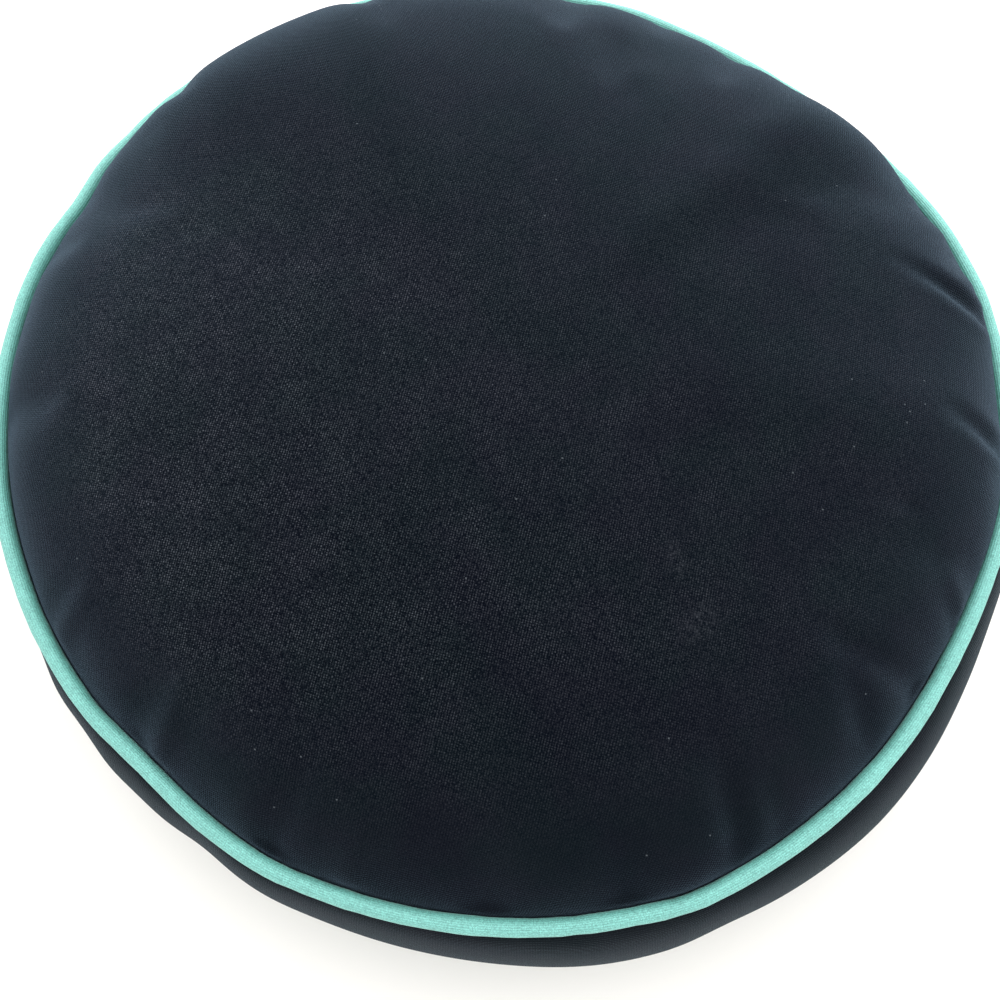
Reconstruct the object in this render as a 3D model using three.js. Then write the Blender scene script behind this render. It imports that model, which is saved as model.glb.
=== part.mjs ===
// Round box cushion: two crowned panels and a bulging side band sewn together and filled, with a covered
// cord sewn into each seam. It lies on its back. Millimetres, +Z up, origin on the floor under the middle.

import * as THREE from 'three';

// Driving sizes
const rimRadius = 203;           // middle of the piping, for a 16 inch round
const pipingRadius = 3.5;
const seamGap = 0.4;             // between the piping and the cloth that it is sewn into
const upperSeamHeight = 85;
const lowerSeamHeight = 15;
const crownHeight = 38;          // middle of the top panel above the upper seam
const crownFullness = 3;         // 2 is a plain dome, more is flatter in the middle with rounder shoulders
const bandBulge = 12;            // how far the side band swells past where it leaves the seams
const bandRoundness = 1.2;       // 1 is a smooth arc, more draws the band in harder at its seams
const restRadius = 150;          // flat patch that the cushion rests on
const shoulderTightness = 5;     // how closely the swells of the top panel keep to its rim
const foldFadeFrom = 4;          // folds flatten out between these distances from the seam
const foldFadeTo = 12;

// Directions round a piping's section, from straight out, where each cloth meets it
const panelEdgeDeg = 150;
const bandEdgeDeg = 300;

// Fineness of the meshes
const stepsAround = 120;
const pipingSides = 8;
const crownSteps = 12;
const bandSteps = 8;
const undersideSteps = 5;
const grooveSteps = 4;

// Where the rim stands out from a true circle, or falls inside it
const rimSwells = [
  { atDeg: 18, spreadDeg: 14, mm: 3 },
  { atDeg: 52, spreadDeg: 24, mm: -7.5 },
  { atDeg: 112, spreadDeg: 20, mm: 4.5 },
  { atDeg: 146, spreadDeg: 16, mm: 2.5 },
  { atDeg: 222, spreadDeg: 20, mm: -5 },
  { atDeg: 285, spreadDeg: 20, mm: 3 },
  { atDeg: 335, spreadDeg: 18, mm: -3.4 },
];

// Where the upper seam rises or dips on its way round
const seamLifts = [
  { atDeg: 60, spreadDeg: 35, mm: 1.5 },
  { atDeg: 205, spreadDeg: 30, mm: -1.5 },
  { atDeg: 300, spreadDeg: 30, mm: 1 },
];

// Where the filling lifts the shoulder of the top panel, or leaves it slack
const shoulderSwells = [
  { atDeg: 28, spreadDeg: 13, mm: -20 },
  { atDeg: 70, spreadDeg: 9, mm: -6 },
  { atDeg: 108, spreadDeg: 20, mm: 13 },
  { atDeg: 165, spreadDeg: 26, mm: -16 },
];

// Where the side band swells more or less than all round
const bandSwells = [
  { atDeg: 318, spreadDeg: 20, mm: 5 },
  { atDeg: 246, spreadDeg: 22, mm: -3 },
];

// Folds in the top panel, each a soft trough between two places given as a direction and a distance in from
// the rim. A depth below zero is a ridge.
const panelFolds = [
  { fromDeg: 24, fromIn: 66, toDeg: 14, toIn: 34, halfWidth: 9, depth: -2.2 },
  { fromDeg: 14, fromIn: 34, toDeg: 5, toIn: 9, halfWidth: 6, depth: -3 },
  { fromDeg: 13, fromIn: 44, toDeg: 3, toIn: 14, halfWidth: 9, depth: 2 },
  { fromDeg: 355, fromIn: 40, toDeg: 350, toIn: 7, halfWidth: 5, depth: -2.2 },
  { fromDeg: 333, fromIn: 40, toDeg: 334, toIn: 24, halfWidth: 12, depth: 1.2 },
  { fromDeg: 317, fromIn: 48, toDeg: 321, toIn: 7, halfWidth: 8, depth: 1.6 },
  { fromDeg: 316, fromIn: 36, toDeg: 312, toIn: 10, halfWidth: 9, depth: 1 },
  { fromDeg: 296, fromIn: 36, toDeg: 295, toIn: 7, halfWidth: 9, depth: 2 },
  { fromDeg: 282, fromIn: 28, toDeg: 282, toIn: 7, halfWidth: 10, depth: 1.4 },
  { fromDeg: 268, fromIn: 26, toDeg: 268, toIn: 7, halfWidth: 9, depth: 1.2 },
  { fromDeg: 246, fromIn: 30, toDeg: 245, toIn: 7, halfWidth: 9, depth: 1.4 },
  { fromDeg: 227, fromIn: 35, toDeg: 230, toIn: 8, halfWidth: 8, depth: -1.2 },
  { fromDeg: 210, fromIn: 28, toDeg: 212, toIn: 7, halfWidth: 9, depth: 1.2 },
  { fromDeg: 186, fromIn: 30, toDeg: 184, toIn: 7, halfWidth: 10, depth: 1.2 },
  { fromDeg: 160, fromIn: 34, toDeg: 162, toIn: 7, halfWidth: 10, depth: 1.4 },
  { fromDeg: 137, fromIn: 26, toDeg: 136, toIn: 7, halfWidth: 9, depth: 1.1 },
  { fromDeg: 108, fromIn: 32, toDeg: 109, toIn: 7, halfWidth: 10, depth: 1.3 },
  { fromDeg: 82, fromIn: 30, toDeg: 80, toIn: 7, halfWidth: 10, depth: 1.4 },
  { fromDeg: 55, fromIn: 34, toDeg: 57, toIn: 7, halfWidth: 9, depth: 1.3 },
];

// Puckers of the side band: how many go round, and how deep they are at the seams
const bandPuckers = 34;
const bandPuckerDepth = 0.7;

function turnBetween(aDeg, bDeg) {
  return THREE.MathUtils.euclideanModulo(aDeg - bDeg + 180, 360) - 180;
}

function directionOf(point) {
  return THREE.MathUtils.radToDeg(Math.atan2(point.y, point.x));
}

function swellAt(rows, deg) {
  let sum = 0;
  for (const row of rows) {
    const away = turnBetween(deg, row.atDeg) / row.spreadDeg;
    sum += row.mm * Math.exp(-away * away);
  }
  return sum;
}

// A point of a fold's run, flat in plan
function planPoint(deg, inwards) {
  const angle = THREE.MathUtils.degToRad(deg);
  const radius = rimRadius - inwards;
  return new THREE.Vector2(radius * Math.cos(angle), radius * Math.sin(angle));
}

const foldRuns = panelFolds.map((fold) => ({
  from: planPoint(fold.fromDeg, fold.fromIn),
  to: planPoint(fold.toDeg, fold.toIn),
  halfWidth: fold.halfWidth,
  depth: fold.depth,
}));

// Depth of all folds together at one place of a panel. The height stays put close to the seam.
function foldDepthAt(plan) {
  let sum = 0;
  for (const run of foldRuns) {
    const along = run.to.clone().sub(run.from);
    const place = plan.clone().sub(run.from);
    const share = THREE.MathUtils.clamp(place.dot(along) / along.lengthSq(), 0, 1);
    const away = place.sub(along.multiplyScalar(share)).length() / run.halfWidth;
    sum += run.depth * Math.exp(-away * away);
  }
  const fromRim = rimRadius - plan.length();
  return sum * THREE.MathUtils.smoothstep(fromRim, foldFadeFrom, foldFadeTo);
}

// Corners of the groove that a piping lies in, pushed out so that its flats keep the gap
function groovePoints(seamHeight, fromDeg, toDeg) {
  const halfStep = THREE.MathUtils.degToRad(Math.abs(toDeg - fromDeg) / grooveSteps / 2);
  const radius = (pipingRadius + seamGap) / Math.cos(halfStep);
  const points = [];
  for (let step = 0; step <= grooveSteps; step += 1) {
    const angle = THREE.MathUtils.degToRad(fromDeg + (toDeg - fromDeg) * step / grooveSteps);
    points.push(new THREE.Vector2(rimRadius + radius * Math.cos(angle), seamHeight + radius * Math.sin(angle)));
  }
  return points;
}

// From the middle of the flat patch out and up to the lower seam
function undersidePoints(edge) {
  const points = [new THREE.Vector2(0, 0), new THREE.Vector2(restRadius / 2, 0), new THREE.Vector2(restRadius, 0)];
  for (let step = 1; step < undersideSteps; step += 1) {
    const turn = Math.PI / 2 * step / undersideSteps;
    const radius = restRadius + (edge.x - restRadius) * Math.sin(turn);
    points.push(new THREE.Vector2(radius, edge.y * (1 - Math.cos(turn))));
  }
  return points;
}

// From the lower seam out round the bulge and back in to the upper seam
function bandPoints(low, high) {
  const points = [];
  for (let step = 1; step < bandSteps; step += 1) {
    const turn = Math.PI * step / bandSteps;
    const radius = low.x + bandBulge * Math.sin(turn) ** bandRoundness;
    const height = (low.y + high.y) / 2 - (high.y - low.y) / 2 * Math.cos(turn);
    points.push(new THREE.Vector2(radius, height));
  }
  return points;
}

// From the upper seam in over the shoulder to the middle of the crown
function crownPoints(edge) {
  const points = [];
  for (let step = crownSteps - 1; step > 0; step -= 1) {
    const turn = Math.PI / 2 * step / crownSteps;
    const radius = edge.x * Math.sin(turn) ** (2 / crownFullness);
    points.push(new THREE.Vector2(radius, edge.y + crownRise * Math.cos(turn)));
  }
  points.push(new THREE.Vector2(0, edge.y + crownRise));
  return points;
}

const lowerGroove = groovePoints(lowerSeamHeight, -panelEdgeDeg, -bandEdgeDeg);
const upperGroove = groovePoints(upperSeamHeight, bandEdgeDeg, panelEdgeDeg);
const panelEdge = upperGroove.at(-1);
const bandTop = upperGroove[0];
const bandFoot = lowerGroove.at(-1);
const crownRise = upperSeamHeight + crownHeight - panelEdge.y;

// Pulls one point of the evenly turned cushion out of round, as the cloth and filling do. All of the groove
// round the upper piping moves with the seam, so that the gap to the piping stays even.
function settle(point) {
  const radius = Math.hypot(point.x, point.y);
  if (radius === 0) {
    return;
  }
  const deg = directionOf(point);
  const share = Math.min(radius / panelEdge.x, 1);
  const lift = swellAt(seamLifts, deg);
  let newRadius = radius + swellAt(rimSwells, deg) * share ** 2;
  if (point.z > panelEdge.y) {
    const shoulder = 1 + swellAt(shoulderSwells, deg) * share ** shoulderTightness / crownRise;
    const folds = foldDepthAt(new THREE.Vector2(point.x, point.y));
    point.z = panelEdge.y + (point.z - panelEdge.y) * shoulder + lift * share ** shoulderTightness - folds;
  } else if (point.z >= bandTop.y) {
    point.z += lift;
  } else if (point.z > bandFoot.y) {
    const swell = (radius - bandTop.x) / bandBulge;
    const pucker = Math.cos(THREE.MathUtils.degToRad(deg * bandPuckers)) * Math.sin(Math.PI * swell);
    newRadius += swellAt(bandSwells, deg) * swell + bandPuckerDepth * pucker;
    point.z += lift * (point.z - bandFoot.y) / (bandTop.y - bandFoot.y);
  }
  point.x *= newRadius / radius;
  point.y *= newRadius / radius;
}

function reshape(geometry, move) {
  const positions = geometry.getAttribute('position');
  const point = new THREE.Vector3();
  for (let index = 0; index < positions.count; index += 1) {
    point.fromBufferAttribute(positions, index);
    move(point);
    positions.setXYZ(index, point.x, point.y, point.z);
  }
  geometry.computeVertexNormals();
  return geometry;
}

function makeCushionBody() {
  const profile = [
    ...undersidePoints(lowerGroove[0]),
    ...lowerGroove,
    ...bandPoints(bandFoot, bandTop),
    ...upperGroove,
    ...crownPoints(panelEdge),
  ];
  const geometry = new THREE.LatheGeometry(profile, stepsAround);
  geometry.rotateX(Math.PI / 2);
  const mesh = new THREE.Mesh(reshape(geometry, settle), navyCanvas);
  mesh.name = 'cushion_body';
  return mesh;
}

// The piping follows its seam with its round section unchanged. Only the upper seam rises and dips.
function makePiping(name, seamHeight, seamLiftRows) {
  const geometry = new THREE.TorusGeometry(rimRadius, pipingRadius, pipingSides, stepsAround);
  const followSeam = (point) => {
    const radius = Math.hypot(point.x, point.y);
    const deg = directionOf(point);
    const newRadius = radius + swellAt(rimSwells, deg);
    point.x *= newRadius / radius;
    point.y *= newRadius / radius;
    point.z += swellAt(seamLiftRows, deg);
  };
  const mesh = new THREE.Mesh(reshape(geometry, followSeam), mintCotton);
  mesh.name = name;
  mesh.position.z = seamHeight;
  return mesh;
}

const navyCanvas = new THREE.MeshStandardMaterial({ color: 0x1e2633, roughness: 0.95, metalness: 0 });
const mintCotton = new THREE.MeshStandardMaterial({ color: 0x86cfc0, roughness: 0.85, metalness: 0 });

const cushion = new THREE.Group();
cushion.add(makeCushionBody());
cushion.add(makePiping('piping_upper', upperSeamHeight, seamLifts));
cushion.add(makePiping('piping_lower', lowerSeamHeight, []));

export default cushion;
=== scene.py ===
"""Round box cushion in navy cloth: two crowned panels and a bulging side band, filled, with a mint
piping sewn into each seam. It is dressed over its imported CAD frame, in metres, and lies on its back."""

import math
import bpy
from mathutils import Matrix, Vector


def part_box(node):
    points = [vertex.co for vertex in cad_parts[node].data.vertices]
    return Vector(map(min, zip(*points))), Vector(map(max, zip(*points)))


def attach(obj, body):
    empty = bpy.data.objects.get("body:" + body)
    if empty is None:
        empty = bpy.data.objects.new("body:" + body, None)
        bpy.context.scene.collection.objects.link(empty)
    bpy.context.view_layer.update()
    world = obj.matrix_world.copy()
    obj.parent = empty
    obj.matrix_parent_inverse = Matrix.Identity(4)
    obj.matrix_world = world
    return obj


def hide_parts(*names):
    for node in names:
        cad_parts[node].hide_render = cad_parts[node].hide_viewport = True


bl_info = {
    "name": "Round Box Cushion",
    "version": (1, 0, 0),
    "blender": (4, 5, 0),
    "location": "3D View > Sidebar > Cushion",
    "description": "Sews, fills and lights a round cushion with piped seams",
    "category": "Object",
}

import bpy
import numpy as np

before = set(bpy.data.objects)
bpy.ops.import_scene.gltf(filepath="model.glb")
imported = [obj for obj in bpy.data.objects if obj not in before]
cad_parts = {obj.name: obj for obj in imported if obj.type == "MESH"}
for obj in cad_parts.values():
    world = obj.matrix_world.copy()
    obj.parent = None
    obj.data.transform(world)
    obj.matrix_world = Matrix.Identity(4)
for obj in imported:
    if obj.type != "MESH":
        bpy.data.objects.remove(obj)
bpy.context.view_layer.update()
lower_piping_low, lower_piping_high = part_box("piping_lower")

MM = 0.001

# Places round the cushion are given as directions in degrees: 0 is +X, 90 is +Y and the far side.

# Where the rim stands out from a true circle, or falls inside it: direction, spread, mm
RIM_SWELLS = (
    (18, 14, 3),
    (52, 24, -7.5),
    (112, 20, 4.5),
    (146, 16, 2.5),
    (222, 20, -5),
    (285, 20, 3),
    (335, 18, -3.4),
    (213, 7, 2.0),
    (347, 9, 2.7),
    (335, 7, 1),
    (293, 6, 0.5),
    (288, 4, 0.9),
    (246, 4, 0.7),
    (231, 5, -0.7),
    (221, 4, 1.1),
    (212, 4, -0.6),
    (172, 9, 1),
    (164, 6, 0.7),
    (154, 4.2, -2),
    (144, 4, -0.8),
    (73, 5, 0.8),
    (35, 6, 0.7),
    (30, 9, -1.1),
    (17.5, 5, -0.8),
    (265, 45, -0.3),
)

# Where a piping is thicker or thinner than elsewhere: direction, spread, mm of radius
PIPING_SWELLS = (
    (265, 50, -0.35),
    (232, 8, 0.12),
    (305, 6, 0.12),
    (188, 7, -0.12),
    (215, 5, -0.1),
    (20, 9, 0.1),
)

# Faces along a piping and round it, and its small unevenness: places along it, and the share of its
# thickness
PIPING_STEPS = (256, 20)
UNEVEN_PLACES = 600
PIPING_UNEVENNESS = 0.012

# Where the upper seam rises or dips: direction, spread, mm
SEAM_LIFTS = (
    (60, 35, 1.5),
    (205, 30, -1.5),
    (300, 30, 1),
)

# Where the filling lifts the shoulder of the top panel, or leaves it slack: direction, spread, mm
SHOULDER_SWELLS = (
    (30, 10, -1),
    (70, 9, -6),
    (108, 20, 13),
    (45, 9, 17),
    (39, 6, 13),
    (33, 5, 6),
    (111, 4, 3),
    (47, 4, -5),
    (132, 13, 24),
    (116, 9, 5),
    (12, 9, 5),
    (352, 9, 8),
    (180, 26, 16),
    (22, 7, 4),
)

# Where the panel falls away evenly, from its middle on: direction, spread, mm
PANEL_DROPS = (
    (114, 18, 16),
    (90, 9, 5),
    (42, 8, 7),
    (350, 14, 7),
)

# Where the shoulder lies slack and meets the piping at a slant: direction, spread, strength
SLACK_SHOULDER = (
    (268, 85, 0.45),
    (176, 28, 0.15),
    (114, 18, 0.25),
    (90, 9, 0.12),
    (42, 8, 0.15),
    (350, 14, 0.18),
)

# How far round the piping the top panel lets go of it, lower down or higher up: direction, spread, and
# degrees
SEAM_TUCKS = (
    (268, 85, 50),
    (329, 5, -25),
    (340, 6, -25),
    (289, 5, -40),
    (242, 4, -35),
    (178.5, 4, -20),
    (155.8, 3, 35),
    (33, 6, -35),
    (7, 6, -30),
    (347, 9, -18),
    (164, 22, 16),
    (24, 5, 20),
)

# Where the side band swells more or less than all round: direction, spread, mm
BAND_SWELLS = (
    (318, 20, 5),
    (246, 22, -3),
    (281, 9, 1.6),
    (331, 8, -2),
    (327, 7, -1.1),
    (329, 5, 1.3),
    (317, 6, -0.9),
    (291, 5, -1.3),
    (237.5, 3.5, -2),
    (224.6, 3, 1.1),
    (231, 4.5, 0.8),
    (219.5, 5, -2.6),
    (210.5, 4, -3.2),
    (199, 9, -9),
    (187, 9, -3),
)

# Sharp creases in the top panel, from its middle outwards. Each runs through places given as direction,
# mm in from the rim, and strength.
CREASES = (
    ((17.2, 48, 0), (15.2, 40, 0.15), (12.6, 31, 0.45), (10.6, 23, 0.85), (8.7, 15, 1.05), (7.1, 6, 1)),
    ((352.8, 30, 0.1), (352, 23, 0.45), (351, 14, 0.8), (350.4, 6, 0.7)),
)

# What lies side by side in a crease: mm to the left of its line, mm of depth, half width in mm
CREASE_SECTION = (
    (-4, -0.6, 4),
    (0.8, 1.2, 1.8),
    (3, 1.3, 3),
    (8.5, -0.7, 4),
)

# Folds in the top panel. Each runs through places given as direction, mm in from the rim, and mm of
# depth there, where a depth below zero is a ridge. The last number is its half width in mm.
PANEL_FOLDS = (
    (((25, 16, 0.2), (24, 6, 0.9)), 3.5),
    (((20.5, 16, -0.2), (20, 6, -0.8)), 3),
    (((16, 13, 0.2), (15.5, 6, 0.8)), 3),
    (((12.5, 12, -0.2), (12.3, 6, -0.8)), 2.6),
    (((338, 50, 0.2), (338.5, 41, 0.8)), 2.5),
    (((333, 39, 0.8), (334, 29, 0.8)), 9),
    (((335, 20, 0), (331, 8, -1.6)), 4),
    (((333, 16, 0), (329.5, 6, 1.4)), 4),
    (((317, 50, 0.4), (319, 30, 1.0), (321, 8, 1.6)), 5),
    (((317, 38, 0.4), (313, 16, 1.0)), 6),
    (((300, 20, 0.6), (300, 8, 1.0)), 5),
    (((296.5, 36, 0.5), (295, 10, 2.0)), 5.5),
    (((282.5, 26, 0.3), (282.5, 8, 1.4)), 8),
    (((268.5, 22, 0.3), (268.5, 7, 1.2)), 7),
    (((255, 22, -0.4), (254, 8, -1.2)), 5),
    (((246, 28, 0.5), (245.5, 8, 1.6)), 6),
    (((228, 34, -0.4), (230, 9, -1.3)), 5),
    (((225, 20, 0.3), (227, 7, 1.0)), 5),
    (((211, 22, -0.3), (212, 8, -1.0)), 5),
    (((186, 30, 0.2), (184, 7, 0.9)), 9),
    (((160, 32, 0.2), (162, 7, 1.0)), 9),
    (((137, 26, 0.2), (136, 7, 0.8)), 8),
    (((108, 32, 0.2), (109, 7, 0.9)), 9),
    (((82, 30, 0.2), (80, 7, 1.0)), 9),
    (((55, 34, 0.3), (57, 7, 1.0)), 8),
)

# The folds fade in between these distances from the edge of the top panel, in mm of cloth
FOLD_FADE_MM = (3, 8)

# The cloth smooths its folds while it settles, so this share of them is pressed in once more
FOLD_SHARE = 0.4

# Powers of the share of the panel's radius, for what fades out quickly or slowly towards its middle
SLOW_FADE = 2
SHOULDER_FADE = 5
EDGE_FADE = 12

# Directions round a piping's section, from straight out, where each cloth meets it
PANEL_EDGE_DEG = 150
BAND_EDGE_DEG = 300
GROOVE_STEPS = 7

# How finely the curves of the crown, the band and the foot are drawn before they are cut into steps, and
# how long the steps are in the middle of the crown, beside the seams and in the middle of the underside
CROWN_POINTS, BAND_POINTS, FOOT_POINTS = 2000, 800, 400
CROWN_STEP, SEAM_STEP, UNDERSIDE_STEP = 0.0075, 0.0034, 0.016

# How much longer the band is cut than the panel's edge, and where the cloth is eased in so that it gathers
# less: direction, spread, share times 1000
BAND_CUT = 1.045
EASED_CLOTH = (
    (90, 75, 45),
    (158, 36, 26),
)

# As cut, the flat panels lie this far above and below the middle of the band
CUT_PANEL_HEIGHT = 0.2

CLOTH_FRAMES = 20
CLOTH_SETTINGS = {
    "quality": 6,
    "mass": 0.3,
    "tension_stiffness": 15,
    "compression_stiffness": 15,
    "shear_stiffness": 5,
    "bending_stiffness": 4,
    "use_pressure": True,
}

# Inside this radius the panels are smooth. Outside of the thinned rings the gathers fade in over a width,
# reach no further than a cap, and leave out the slowest waves.
STILL_RADIUS = 0.1
GATHER_FADE = 0.025
GATHER_CAP = 0.0035
SLOW_WAVES = 7

# Inside each of these radii, in metres, the cover has half as many columns of faces
THINNED_INSIDE = (0.12, 0.06, 0.03, 0.015)

# Where the weave of the navy cloth shows less crisply than at the left of the top panel: beside the seam,
# at the right, at the far side and at the near side. From here in metres, up to here, and the share lost.
CRISPEST = 1.28
LESS_CRISP = (
    (0.155, 0.19, 0.6),
    (-0.15, 0.15, 0.3906),
    (0.03, 0.17, 0.5),
    (-0.1, -0.17, 0.28),
)
LESS_CRISP_BAND = 0.6

# How far the threads wander, in metres, and how many fibres lie side by side in one
NAVY_WANDER = 0.0006
MINT_WANDER = 0.0004
FIBRE_CELLS = 2.3

# Usual shade of the navy threads, how much of their relief is worn off, and what crisp cloth adds to the
# contrast of light and dark
MEAN_RELIEF = 0.62
WORN_RELIEF = 0.45
SHADE_GAIN = 1.6
CRISP_CONTRAST = 0.6

# How much the shade changes with the upper thread, from thread to thread, from fibre to fibre and in soft
# clouds, as shares of it
UPPER_THREAD_CHANGE = 0.2
THREAD_CHANGE = 0.18
NAVY_FIBRE_CHANGE = 1.5
MINT_FIBRE_CHANGE = 0.44
PANEL_CLOUDS, BAND_CLOUDS = 0.36, 0.96
MINT_CLOUDS = 0.2

# The weave changes the navy's hue less than its lightness, so this share of its shade is plain grey
GREY_SHARE = 0.7
GREY_STRENGTH = 1.1
MEAN_SHADE = 0.75

# Slow changes of hue over the navy cloth, and the band's hue at its foot and at its top. The warm foot is
# partly brownish dust and partly a painted reflection of the warm floor.
COOL_TINT = (0.9, 1.04, 0.97, 1)
WARM_TINT = (1.11, 0.96, 1.04, 1)
BAND_FOOT_DUST_AND_REFLECTION_TINT = (1.4, 1, 0.7, 1)
BAND_TOP_TINT = (1, 1.05, 1, 1)

# A few specks of lint all over, and many more round one place, thinning out between these distances
LINT_PLACE = (0.152, -0.017)
LINT_CHANCE = 0.00008
LINT_CLUSTER = 90
LINT_REACH = (0.002, 0.016)
LINT_CELLS = 1.6
LINT_SEED = 7

# Rubbed patches on the top panel: x, y, reach in metres, and strength
SCUFFS = (
    (0.0714, -0.1029, 0.009, 1),
    (0.0665, -0.1062, 0.009, 0.8),
    (0.0599, -0.0795, 0.006, 1),
    (0.062, -0.0853, 0.006, 1),
)
SCUFF_STRENGTH = 1.5

# Between these heights the side band goes from darker at its foot to lighter at its top: painted shade and
# painted light, for how the light falls on it
BAND_PAINTED_SHADE_HEIGHTS = (0.048, 0.08)
BAND_FOOT_PAINTED_SHADE = 0.35
BAND_TOP_PAINTED_LIGHT = 0.9

# The soft nap of the navy cloth, which is another one on the band than on the panels
NAVY_SPECULAR = 0.024
NAP_ROUGHNESS = 0.4
PANEL_NAP = (0.125, 0.181, 0.237)
BAND_NAP = (0.115, 0.142, 0.16)

# The mint cloth's ribs, its weave and its nap, and where it has a painted pale sheen and floor reflection
# and where it has painted shade, as shares of the piping's girth from its outer side
RIB_CHANGE = 0.14
MINT_WEAVE_CHANGE = 0.1
MINT_DARKEST = 0.84
MINT_BRIGHTNESS = 1.12
MINT_SHEEN = 0.12
MINT_SHEEN_ROUGHNESS = 0.4
PAINTED_SHEEN_PART = (0.02, 0.13)
PAINTED_SHADE_PART = (0.3, 0.46)

# Light from everywhere, and what is added towards +X, +Y and +Z
ROOM_LIGHT = (2.51, 0.15, 0.85, -1.11)
ROOM_COLOUR = (0.98, 0.99, 1, 1)
WINDOW_ENERGY = 22.6
WINDOW_SIZE = 1.4
WINDOW_PLACE = (0.3, 1.8, 0.8)
FLOOR = (0.96, 0.93, 0.885)
FLOOR_SIZE = 8
FLOOR_DROP = 0.0003

# Where the photo was taken from
CAMERA_PLACE = (-0.0008, -0.1968, 0.4946)
CAMERA_TILT_DEG = 20
CAMERA_LENS = 39.96

# Parts of the cover, from the middle of its top to the middle of its underside
CROWN, UPPER_GROOVE, BAND, LOWER_GROOVE, UNDERSIDE = range(5)
BAND_JOIN_DEG = 90


class CushionShape(bpy.types.PropertyGroup):
    """Sizes of the cushion."""

    rim_radius: bpy.props.FloatProperty(
        name="Rim radius",
        description="From the middle of the cushion to the middle of the piping",
        default=0.203,
        unit="LENGTH",
    )
    piping_radius: bpy.props.FloatProperty(
        name="Piping radius",
        description="Half the thickness of the covered cord",
        default=(lower_piping_high.z - lower_piping_low.z) / 2,
        unit="LENGTH",
    )
    seam_gap: bpy.props.FloatProperty(
        name="Seam gap",
        description="Room between a piping and the cloth that it is sewn into",
        default=0.0004,
        unit="LENGTH",
    )
    upper_seam_height: bpy.props.FloatProperty(
        name="Upper seam height",
        description="Height of the middle of the upper piping",
        default=0.085,
        unit="LENGTH",
    )
    lower_seam_height: bpy.props.FloatProperty(
        name="Lower seam height",
        description="Height of the middle of the lower piping",
        default=(lower_piping_high.z + lower_piping_low.z) / 2,
        unit="LENGTH",
    )
    crown_height: bpy.props.FloatProperty(
        name="Crown height",
        description="How far the middle of the top panel stands above the upper seam",
        default=0.038,
        unit="LENGTH",
    )
    crown_fullness: bpy.props.FloatProperty(
        name="Crown fullness",
        description="2 is a plain dome, more is flatter in the middle with rounder shoulders",
        default=3,
    )
    band_bulge: bpy.props.FloatProperty(
        name="Band bulge",
        description="How far the side band swells past where it leaves the seams",
        default=0.012,
        unit="LENGTH",
    )
    band_roundness: bpy.props.FloatProperty(
        name="Band roundness",
        description="1 is a smooth arc, more draws the band in harder at its seams",
        default=1.2,
    )
    rest_radius: bpy.props.FloatProperty(
        name="Rest radius",
        description="Radius of the flat patch that the cushion rests on",
        default=0.15,
        unit="LENGTH",
    )
    steps_around: bpy.props.IntProperty(
        name="Steps around",
        description="Columns of faces round the cover before it is smoothed",
        default=288,
    )


class CushionCloth(bpy.types.PropertyGroup):
    """Colours and threads of the two cloths, and how hard the filling presses."""

    navy: bpy.props.FloatVectorProperty(
        name="Navy",
        description="Colour of the panels and the side band",
        subtype="COLOR",
        default=(0.0061, 0.008, 0.0116),
    )
    lint: bpy.props.FloatVectorProperty(
        name="Lint",
        description="Colour of the few specks of lint on the navy cloth",
        subtype="COLOR",
        default=(0.06, 0.068, 0.075),
    )
    mint: bpy.props.FloatVectorProperty(
        name="Mint",
        description="Colour of the piping",
        subtype="COLOR",
        default=(0.176, 0.425, 0.378),
    )
    # Painted shade on the side of the piping that is turned to the panel
    painted_shade_mint: bpy.props.FloatVectorProperty(
        name="Shaded mint",
        description="Colour of the side of the piping that is turned to the panel",
        subtype="COLOR",
        default=(0.095, 0.29, 0.25),
    )
    # Painted pale sheen and floor reflection on the outer side of the piping
    painted_sheen_mint: bpy.props.FloatVectorProperty(
        name="Rubbed mint",
        description="Colour of the outer side of the piping, where it is rubbed paler",
        subtype="COLOR",
        default=(0.235, 0.4, 0.375),
    )
    mint_pitch: bpy.props.FloatProperty(
        name="Mint pitch",
        description="From one rib of the piping to the next",
        default=0.00092,
        unit="LENGTH",
    )
    warp_pitch: bpy.props.FloatProperty(
        name="Warp pitch",
        description="From one lengthways thread of the navy cloth to the next",
        default=0.00094,
        unit="LENGTH",
    )
    weft_pitch: bpy.props.FloatProperty(
        name="Weft pitch",
        description="From one crossways thread of the navy cloth to the next",
        default=0.00085,
        unit="LENGTH",
    )
    weave_turn: bpy.props.FloatProperty(
        name="Weave turn",
        description="How far the threads of the top panel are turned from +Y",
        subtype="ANGLE",
        default=math.radians(-14.2),
    )
    pressure: bpy.props.FloatProperty(
        name="Filling pressure",
        description="How hard the filling presses on the cloth while it settles",
        default=4,
    )


def turn_between(deg, at_deg):
    return (deg - at_deg + 180) % 360 - 180


def swell_at(rows, deg):
    """Metres of swell at directions in degrees."""
    total = np.zeros_like(deg, dtype=float)
    for at_deg, spread, mm in rows:
        total += mm * MM * np.exp(-((turn_between(deg, at_deg) / spread) ** 2))
    return total


def smooth_step(value, start, end):
    share = np.clip((value - start) / (end - start), 0, 1)
    return share * share * (3 - 2 * share)


def groove(shape, seam_height, from_deg, to_deg):
    """Radius and height of points round a piping's section, a seam gap away from it."""
    angle = np.radians(np.linspace(from_deg, to_deg, GROOVE_STEPS + 1))
    reach = shape.piping_radius + shape.seam_gap
    return np.column_stack(
        (shape.rim_radius + reach * np.cos(angle), seam_height + reach * np.sin(angle))
    )


def lengths_along(curve):
    return np.concatenate(([0], np.cumsum(np.hypot(*np.diff(curve, axis=0).T))))


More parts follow.
